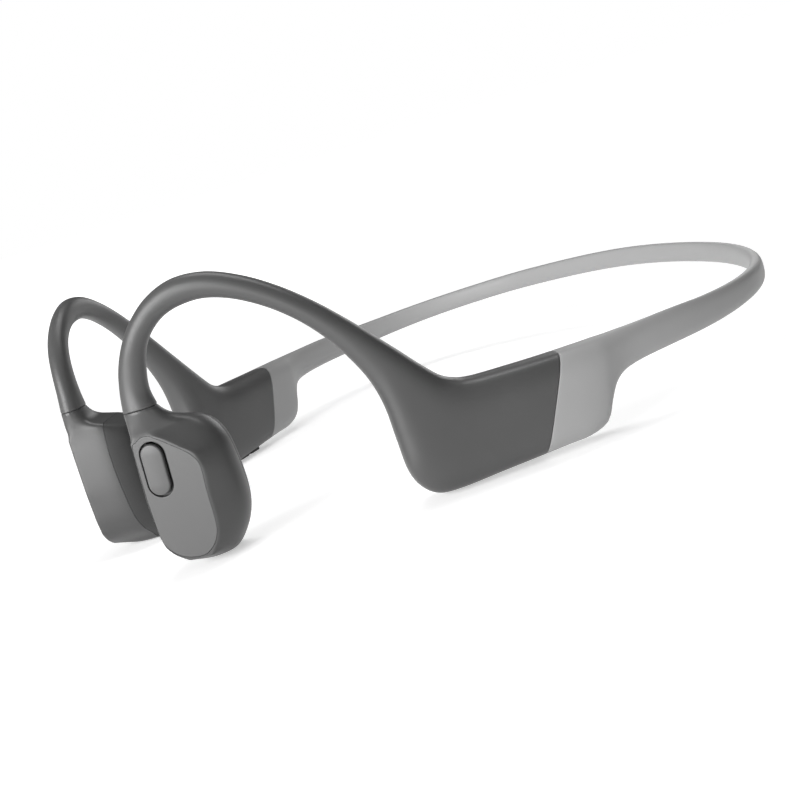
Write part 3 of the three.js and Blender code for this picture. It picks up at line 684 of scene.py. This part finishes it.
def round_button(outline, count=PLATE_POINTS):
    """Outline resampled at even angles about the button's middle."""
    middle = np.array([BUTTON["u"], BUTTON["z"]])
    away = along_outline(outline) - middle
    angle = np.unwrap(np.arctan2(away[:, 1], away[:, 0]))
    radius = np.linalg.norm(away, axis=1)
    order = np.argsort(angle % (2 * math.pi))
    even = np.arange(count) / count * 2 * math.pi
    radius = np.interp(even, (angle % (2 * math.pi))[order], radius[order], period=2 * math.pi)
    return middle + radius[:, None] * np.stack([np.cos(even), np.sin(even)], -1)


def face_plate(name, side, has_button):
    """Outer plate with rounded edges. On the left it goes round the button's opening."""
    bottom = PLATE_W - FACE_THICK
    rim = quarter(PLATE_EDGE)
    profile = [(0, bottom), *[(pulled, PLATE_W - PLATE_EDGE + risen) for pulled, risen in rim]]
    profile.append((PLATE_EDGE + FLAT_MARGIN, PLATE_W))
    outside = [on_face(round_button(inset(face_outline, PLATE_INSET + pulled)), w) for pulled, w in profile]
    if not has_button:
        return closed_loft(name, outside, side)
    opening = [
        on_face(round_button(button_outline(BUTTON_GAP + pulled, BUTTON_SHIFT)), w)
        for pulled, w in profile
    ]
    rings = outside + opening[::-1]
    return make(name, np.vstack(rings), grid_faces(len(rings), PLATE_POINTS, closed=True), side)


def button_well(side):
    rings = [on_face(button_outline(-BUTTON_WEB), w) for w in (-OVERRUN, PLATE_W + 1)]
    return closed_loft("well", rings, side)


def housing_shell(name, side, has_button):
    shell = housing_body(name, side)
    cutters = [beyond_seam(-1, side), housing_cavity(side), neck_channel(side), face_pocket(side)]
    if has_button:
        cutters.append(button_well(side))
    return cut(shell, *cutters)


def contact_pad(name, side):
    return cut(housing_body(name, side), beyond_seam(1, side), housing_cavity(side))


def multifunction_button(name, side):
    """Pill-shaped key with a rounded edge and a slightly crowned top, on a round stem."""
    count = len(button_outline(0))
    edge = BUTTON["top"] - BUTTON_CROWN
    middle = [BUTTON["u"], BUTTON["z"]]
    stem = turned(pill(2 * STEM_RADIUS, 2 * STEM_RADIUS, STEM_RADIUS, count // 4), 90 - BUTTON["tilt"])
    rings = [on_face(stem + middle, w) for w in (STEM_END, BUTTON["low"])]
    rings.append(on_face(button_outline(0), BUTTON["low"]))
    for pulled, risen in quarter(BUTTON_EDGE, 7):
        rings.append(on_face(button_outline(-pulled), edge - BUTTON_EDGE + risen))
    reach = BUTTON["width"] / 2 - BUTTON_EDGE
    for share in CROWN_SHARES:
        height = edge + BUTTON_CROWN * (1 - (1 - share) ** 2)
        rings.append(on_face(button_outline(-BUTTON_EDGE - reach * share), height))
    return closed_loft(name, rings, side, 50, caps=((0.5,), ()))


# ---------------------------------------------------------------- underside of the right module
def under_module(points, u, z):
    """Outline lying flat under the module, about distance u."""
    return in_module(u + points[:, 0], z, points[:, 1])


def volume_spots():
    return [VOLUME["rear"] - VOLUME["length"] / 2 - i * VOLUME["pitch"] for i in range(2)]


def volume_outline(grow):
    return pill(VOLUME["length"] + 2 * grow, VOLUME["width"] + 2 * grow, VOLUME["radius"] + grow, 10)


def port_outline(grow):
    return pill(PORT["length"] + 2 * grow, PORT["width"] + 2 * grow, PORT["radius"] + grow, 10)


def volume_button(name, u, side):
    rings = [under_module(volume_outline(0), u, VOLUME["top"])]
    for pulled, risen in quarter(VOLUME_EDGE):
        rings.append(under_module(volume_outline(-pulled), u, VOLUME["low"] + VOLUME_EDGE - risen))
    return closed_loft(name, rings, side, 40, caps=((0.5,), (0.85, 0.5)))


def under_cutter(outline, u, side, low=UNDER_CUT[0], high=UNDER_CUT[1]):
    return closed_loft("under_cutter", [under_module(outline, u, z) for z in (low, high)], side)


def under_openings(side):
    cutters = [under_cutter(volume_outline(UNDER_GAP), u, side) for u in volume_spots()]
    return cutters + [under_cutter(port_outline(UNDER_GAP), PORT["u"], side)]


def contact_spots():
    return {"front": PORT["u"] - CONTACT["apart"], "rear": PORT["u"] + CONTACT["apart"]}


def charge_port(name, side):
    rings = [under_module(port_outline(0), PORT["u"], PORT["top"])]
    for pulled, risen in quarter(LIP):
        rings.append(under_module(port_outline(-pulled), PORT["u"], PORT["low"] + LIP - risen))
    port = closed_loft(name, rings, side, caps=((0.5,), (0.9, 0.5)))
    wells = [
        under_cutter(circle(CONTACT["well"], ROUND_POINTS), u, side, 0, CONTACT["well_top"])
        for u in contact_spots().values()
    ]
    return cut(port, *wells)


def charge_contact(name, u, side):
    """Round plated contact with a shallow dish in its face."""
    radius, low = CONTACT["radius"], CONTACT["low"]
    profile = [(radius - pulled, low + risen) for pulled, risen in CONTACT_FACE]
    profile = [(radius, CONTACT["top"]), *profile]
    rings = [under_module(circle(r, ROUND_POINTS), u, z) for r, z in profile]
    return closed_loft(name, rings, side, 40, caps=((0.5,), (0.5,)))


# ---------------------------------------------------------------- materials
def new_material(name):
    material = bpy.data.materials.new(name)
    material.use_nodes = True
    nodes, links = material.node_tree.nodes, material.node_tree.links
    shader = nodes["Principled BSDF"]
    place = nodes.new("ShaderNodeTexCoord").outputs["Object"]
    return material, nodes, links, shader, place


def noise(nodes, links, place, scale, detail=3.0, rough=0.5, stretch=None):
    """Noise value over the object's own space. scale is in features per metre."""
    texture = nodes.new("ShaderNodeTexNoise")
    texture.inputs["Scale"].default_value = scale
    texture.inputs["Detail"].default_value = detail
    texture.inputs["Roughness"].default_value = rough
    if stretch:
        mapping = nodes.new("ShaderNodeMapping")
        mapping.inputs["Scale"].default_value = stretch
        links.new(place, mapping.inputs["Vector"])
        place = mapping.outputs["Vector"]
    links.new(place, texture.inputs["Vector"])
    return texture.outputs["Fac"]


def spread(nodes, links, value, low, high, from_low=0.3, from_high=0.7):
    """Value mapped from one range to another."""
    ramp = nodes.new("ShaderNodeMapRange")
    ranges = {"From Min": from_low, "From Max": from_high, "To Min": low, "To Max": high}
    for name, number in ranges.items():
        ramp.inputs[name].default_value = number
    links.new(value, ramp.inputs["Value"])
    return ramp.outputs["Result"]


def tinted(nodes, links, value, dark, light, shader):
    """Base colour between two tones."""
    mix = nodes.new("ShaderNodeMix")
    mix.data_type = "RGBA"
    mix.inputs["A"].default_value = (*dark, 1)
    mix.inputs["B"].default_value = (*light, 1)
    links.new(value, mix.inputs["Factor"])
    links.new(mix.outputs["Result"], shader.inputs["Base Color"])


def grey(value, warmth=0.0):
    return (value * (1 + warmth), value, value * (1 - warmth))


def moulded(name, tone, vary, roughness, grain, depth, specular=0.5, sheen=0.0):
    """Moulded silicone or plastic. grain is the size of its texture in metres, and depth its height."""
    material, nodes, links, shader, place = new_material(name)
    drift = noise(nodes, links, place, 70, 4)
    speck = noise(nodes, links, place, 1 / grain, 2, 0.6)
    both = nodes.new("ShaderNodeMath")
    both.operation = "MULTIPLY_ADD"
    both.inputs[1].default_value = 0.35
    links.new(speck, both.inputs[0])
    links.new(spread(nodes, links, drift, 0.0, 0.65), both.inputs[2])
    tinted(nodes, links, both.outputs["Value"], grey(tone * (1 - vary)), grey(tone * (1 + vary)), shader)
    links.new(spread(nodes, links, speck, roughness - 0.04, roughness + 0.05), shader.inputs["Roughness"])
    bump = nodes.new("ShaderNodeBump")
    bump.inputs["Strength"].default_value = 0.5
    bump.inputs["Distance"].default_value = depth
    links.new(speck, bump.inputs["Height"])
    links.new(bump.outputs["Normal"], shader.inputs["Normal"])
    shader.inputs["Specular IOR Level"].default_value = specular
    shader.inputs["Sheen Weight"].default_value = sheen
    shader.inputs["Sheen Roughness"].default_value = 0.5
    return material


def metal(name, dark, light, roughness, brush=(1, 1, 14)):
    """Drawn or plated metal with fine brushing."""
    material, nodes, links, shader, place = new_material(name)
    lines = noise(nodes, links, place, 900, 3, 0.6, brush)
    tinted(nodes, links, lines, dark, light, shader)
    links.new(spread(nodes, links, lines, roughness - 0.06, roughness + 0.08), shader.inputs["Roughness"])
    bump = nodes.new("ShaderNodeBump")
    bump.inputs["Strength"].default_value = 0.25
    bump.inputs["Distance"].default_value = 0.000015
    links.new(lines, bump.inputs["Height"])
    links.new(bump.outputs["Normal"], shader.inputs["Normal"])
    shader.inputs["Metallic"].default_value = 1.0
    return material


def circuit_board(name):
    """Green laminate with lighter copper traces under the resist."""
    material, nodes, links, shader, place = new_material(name)
    cells = nodes.new("ShaderNodeTexVoronoi")
    cells.feature = "DISTANCE_TO_EDGE"
    cells.inputs["Scale"].default_value = 520
    links.new(place, cells.inputs["Vector"])
    traces = spread(nodes, links, cells.outputs["Distance"], 1.0, 0.0, 0.03, 0.07)
    tinted(nodes, links, traces, (0.012, 0.07, 0.035), (0.05, 0.19, 0.09), shader)
    bump = nodes.new("ShaderNodeBump")
    bump.inputs["Strength"].default_value = 0.3
    bump.inputs["Distance"].default_value = 0.00003
    links.new(traces, bump.inputs["Height"])
    links.new(bump.outputs["Normal"], shader.inputs["Normal"])
    shader.inputs["Roughness"].default_value = 0.35
    return material


def coil_wire(name):
    """Enamelled copper winding: fine turns round the coil."""
    material, nodes, links, shader, place = new_material(name)
    wave = nodes.new("ShaderNodeTexWave")
    wave.wave_type = "RINGS"
    wave.inputs["Scale"].default_value = 1800
    wave.inputs["Distortion"].default_value = 0.4
    links.new(place, wave.inputs["Vector"])
    tinted(nodes, links, wave.outputs["Fac"], (0.25, 0.07, 0.02), (0.62, 0.26, 0.09), shader)
    bump = nodes.new("ShaderNodeBump")
    bump.inputs["Strength"].default_value = 0.6
    bump.inputs["Distance"].default_value = 0.00005
    links.new(wave.outputs["Fac"], bump.inputs["Height"])
    links.new(bump.outputs["Normal"], shader.inputs["Normal"])
    shader.inputs["Metallic"].default_value = 1.0
    shader.inputs["Roughness"].default_value = 0.3
    return material


# moulded: tone, its variation, roughness, size and height of the grain, specular share, sheen
# metal: dark tone, light tone, roughness, stretch of the brushing
FINISHES = {
    "dark_silicone": moulded("dark_silicone", 0.054, 0.08, 0.42, 0.00035, 0.000008, 0.5, 0.04),
    "light_silicone": moulded("light_silicone", 0.28, 0.04, 0.48, 0.00035, 0.000008, 0.42, 0.05),
    "dark_plastic": moulded("dark_plastic", 0.047, 0.07, 0.40, 0.00028, 0.000006, 0.5, 0.03),
    # the shell's dark plastic with a lighter tone: painted light on the flat outer face that turns toward
    # the lamps; the key uses it too
    "face_plastic": moulded("face_plastic", 0.078, 0.05, 0.40, 0.00022, 0.000006, 0.5),
    "pad_silicone": moulded("pad_silicone", 0.030, 0.10, 0.58, 0.00040, 0.000010, 0.38, 0.03),
    "black_plastic": moulded("black_plastic", 0.012, 0.15, 0.48, 0.00030, 0.000010, 0.45),
    "spring_titanium": metal("spring_titanium", grey(0.36, 0.02), grey(0.55, 0.02), 0.34, (1, 14, 1)),
    "spring_steel": metal("spring_steel", grey(0.45), grey(0.68), 0.26),
    "yoke_steel": metal("yoke_steel", grey(0.30), grey(0.48), 0.38),
    "magnet_plating": metal("magnet_plating", grey(0.55, 0.01), grey(0.75, 0.01), 0.18),
    "coil_copper": coil_wire("coil_copper"),
    "lead_jacket": moulded("lead_jacket", 0.09, 0.12, 0.42, 0.00020, 0.000006),
    "board_green": circuit_board("board_green"),
    "cell_wrap": moulded("cell_wrap", 0.30, 0.06, 0.30, 0.00060, 0.000020),
    "contact_gold": metal("contact_gold", (0.62, 0.40, 0.13), (0.85, 0.60, 0.24), 0.22),
    "shield_tin": metal("shield_tin", grey(0.42, 0.01), grey(0.60, 0.01), 0.36),
}


# ---------------------------------------------------------------- pieces on their bodies
def place_piece(obj, body, finish, *nodes):
    obj.data.materials.clear()
    obj.data.materials.append(FINISHES[finish])
    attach(obj, body)
    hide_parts(*nodes)


def build_arm(name, side):
    body = f"{name}_arm"
    has_button = name == "left"
    cover = arm_cover(f"{name}_hook_cover", hook_rows, CHANNEL_HOOK, side)
    if name == "right":
        cut(cover, *under_openings(side))
    place_piece(cover, body, "dark_silicone", f"{name}_hook_shell")
    shell = housing_shell(f"{name}_housing_outer", side, has_button)
    place_piece(shell, body, "dark_plastic", f"{name}_housing_shell")
    pad = contact_pad(f"{name}_skin_pad", side)
    place_piece(pad, body, "pad_silicone", f"{name}_contact_pad")
    plate = face_plate(f"{name}_outer_plate", side, has_button)
    # the outer plate gets the lighter copy of the shell's plastic, painted light on the face toward the
    # lamps
    place_piece(plate, body, "face_plastic", f"{name}_face_plate")
    wires = [row for row in hook_rows if row[6] < WIRE_SHARE]
    core = several(f"{name}_hook_spring", [strand(wires, CORE_OFFSET, 0, CORE_RADIUS)], side)
    place_piece(core, body, "spring_titanium", f"{name}_hook_core")
    leads = twisted_leads(f"{name}_hook_wiring", wires, side)
    place_piece(leads, body, "lead_jacket", f"{name}_hook_leads")


def build_controls():
    left, right = SIDES["left"], SIDES["right"]
    key = multifunction_button("multifunction_key", left)
    # the key shares the outer plate's lighter plastic, painted light
    place_piece(key, "multifunction_button", "face_plastic", "multifunction_button")
    for name, u in zip(("volume_up", "volume_down"), volume_spots()):
        key = volume_button(f"{name}_key", u, right)
        place_piece(key, f"{name}_button", "black_plastic", f"{name}_button")
    port = charge_port("charging_port", right)
    place_piece(port, "right_arm", "black_plastic", "charge_port")
    for end, u in contact_spots().items():
        contact = charge_contact(f"charging_contact_{end}", u, right)
        place_piece(contact, "right_arm", "contact_gold", f"charge_contact_{end}")


def bend_piece(obj, finish, *nodes):
    """A piece of the neckband that flexes between the two arms."""
    obj.data.materials.clear()
    obj.data.materials.append(FINISHES[finish])
    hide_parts(*nodes)
    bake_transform(obj)


def build_neckband():
    sleeve = arm_cover("neckband_sleeve", band_rows, CHANNEL_BAND)
    bend_piece(sleeve, "light_silicone", "left_band_sleeve", "right_band_sleeve")
    wires = [row for row in band_rows if row[6] < WIRE_SHARE / 2]
    core = several("neckband_spring", [strand(wires, CORE_OFFSET, 0, CORE_RADIUS)])
    bend_piece(core, "spring_titanium", "left_band_core", "right_band_core")
    leads = twisted_leads("neckband_wiring", wires)
    bend_piece(leads, "lead_jacket", "left_band_leads", "right_band_leads")


INSIDE_EDGE = 0.00008
INSIDE_FINISHES = {
    "driver_bracket": "black_plastic",
    "driver_flexure": "spring_steel",
    "driver_yoke": "yoke_steel",
    "driver_magnet": "magnet_plating",
    "voice_coil": "coil_copper",
    "module_tray": "black_plastic",
    "button_switch": "shield_tin",
    "button_board": "board_green",
    "battery_cell": "cell_wrap",
    "volume_up_switch": "shield_tin",
    "volume_down_switch": "shield_tin",
    "main_board": "board_green",
    "radio_shield": "shield_tin",
}


def dress_inside():
    """Materials and softened edges for the CAD nodes that stay."""
    for node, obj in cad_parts.items():
        if obj.hide_render:
            continue
        plain = node.replace("left_", "").replace("right_", "")
        finish = INSIDE_FINISHES[plain]
        obj.data.materials.clear()
        obj.data.materials.append(FINISHES[finish])
        edge = obj.modifiers.new("edge", "BEVEL")
        edge.width = INSIDE_EDGE
        edge.segments = 2
        edge.limit_method = "ANGLE"
        edge.angle_limit = math.radians(40)


for side_name, side_sign in SIDES.items():
    build_arm(side_name, side_sign)
build_controls()
build_neckband()
dress_inside()


# ---------------------------------------------------------------- camera, floor and light
CAMERA_AT = (0.2452, -0.0843 + SHIFT_Y * MM, 0.0635)
CAMERA_AZIMUTH, CAMERA_ELEVATION, CAMERA_ROLL = 58.79, 10.87, -18.04
CAMERA_LENS = 60.75
FLOOR_RINGS = (0.3, 0.6, 1.2, 3.0, 10.0, 30.0)
FLOOR_DROP = 0.0001
# the floor's own glow, in the middle and far away, and the distances between which it grows
FLOOR_GLOW, FLOOR_GLOW_FAR = 0.45, 1.2
GLOW_START, GLOW_END = 0.12, 0.7
SKY_FRONT, SKY_BACK = 0.42, 0.02    # light from the surroundings in front and behind


def make_camera():
    azimuth, elevation, roll = [math.radians(a) for a in (CAMERA_AZIMUTH, CAMERA_ELEVATION, CAMERA_ROLL)]
    ahead = Vector((
        -math.sin(azimuth) * math.cos(elevation),
        math.cos(azimuth) * math.cos(elevation),
        -math.sin(elevation),
    ))
    level = ahead.cross(Vector((0, 0, 1))).normalized()
    above = level.cross(ahead)
    right = level * math.cos(roll) + above * math.sin(roll)
    up = right.cross(ahead)
    data = bpy.data.cameras.new("camera")
    data.lens = CAMERA_LENS
    data.sensor_width = 36
    data.clip_start, data.clip_end = 0.01, 100
    camera = bpy.data.objects.new("camera", data)
    camera.matrix_world = Matrix((
        (right.x, up.x, -ahead.x, CAMERA_AT[0]),
        (right.y, up.y, -ahead.y, CAMERA_AT[1]),
        (right.z, up.z, -ahead.z, CAMERA_AT[2]),
        (0, 0, 0, 1),
    ))
    bpy.context.scene.collection.objects.link(camera)
    bpy.context.scene.camera = camera


def make_floor():
    """Wide pale floor that fades into the backdrop with distance."""
    count = 96
    vertices, faces = [], []
    for radius in FLOOR_RINGS:
        for x, y in circle(radius, count):
            vertices.append((x, y, -FLOOR_DROP))
    faces = grid_faces(len(FLOOR_RINGS), count) + [tuple(range(count))]
    mesh = bpy.data.meshes.new("floor")
    mesh.from_pydata(vertices, [], faces)
    finish_mesh(mesh, 30)
    floor = bpy.data.objects.new("floor", mesh)
    bpy.context.scene.collection.objects.link(floor)
    material, nodes, links, shader, place = new_material("pale_floor")
    tinted(nodes, links, noise(nodes, links, place, 6, 2), grey(0.80), grey(0.82), shader)
    shader.inputs["Roughness"].default_value = 0.9
    shader.inputs["Specular IOR Level"].default_value = 0.1
    length = nodes.new("ShaderNodeVectorMath")
    length.operation = "LENGTH"
    links.new(place, length.inputs[0])
    glow = (FLOOR_GLOW, FLOOR_GLOW_FAR, GLOW_START, GLOW_END)
    fade = spread(nodes, links, length.outputs["Value"], *glow)
    shader.inputs["Emission Color"].default_value = (1, 1, 1, 1)
    links.new(fade, shader.inputs["Emission Strength"])
    mesh.materials.append(material)


def make_sky():
    """White surroundings, lighting the object mostly from its front."""
    world = bpy.data.worlds.new("studio")
    bpy.context.scene.world = world
    world.use_nodes = True
    nodes, links = world.node_tree.nodes, world.node_tree.links
    direction = nodes.new("ShaderNodeTexCoord").outputs["Generated"]
    split = nodes.new("ShaderNodeSeparateXYZ")
    links.new(direction, split.inputs["Vector"])
    lighting = spread(nodes, links, split.outputs["Y"], SKY_FRONT, SKY_BACK, -0.8, 0.8)
    seen = nodes.new("ShaderNodeLightPath").outputs["Is Camera Ray"]
    strength = nodes.new("ShaderNodeMath")
    strength.operation = "MAXIMUM"
    links.new(lighting, strength.inputs[0])
    links.new(seen, strength.inputs[1])
    background = nodes["Background"]
    background.inputs["Color"].default_value = (1, 1, 1, 1)
    links.new(strength.outputs["Value"], background.inputs["Strength"])


def area_light(name, direction, distance, size, power):
    """Soft box aimed at the object's middle from a direction."""
    way = Vector(direction).normalized()
    target = Vector((0, 0, 0.02))
    data = bpy.data.lights.new(name, "AREA")
    data.shape = "RECTANGLE"
    data.size, data.size_y = size
    data.energy = power
    light = bpy.data.objects.new(name, data)
    light.location = target + way * distance
    light.rotation_mode = "QUATERNION"
    light.rotation_quaternion = (-way).to_track_quat("-Z", "Y")
    light.visible_camera = False
    bpy.context.scene.collection.objects.link(light)


make_camera()
make_floor()
make_sky()
area_light("key", (0.20, -1.0, 0.22), 0.7, (0.45, 0.45), 7.0)
area_light("back", (-0.5, 0.9, 0.30), 0.8, (0.5, 0.3), 1.2)
area_light("above", (0.05, 0.05, 1.0), 0.20, (0.08, 0.16), 0.22)
bpy.context.scene.view_settings.view_transform = "Standard"
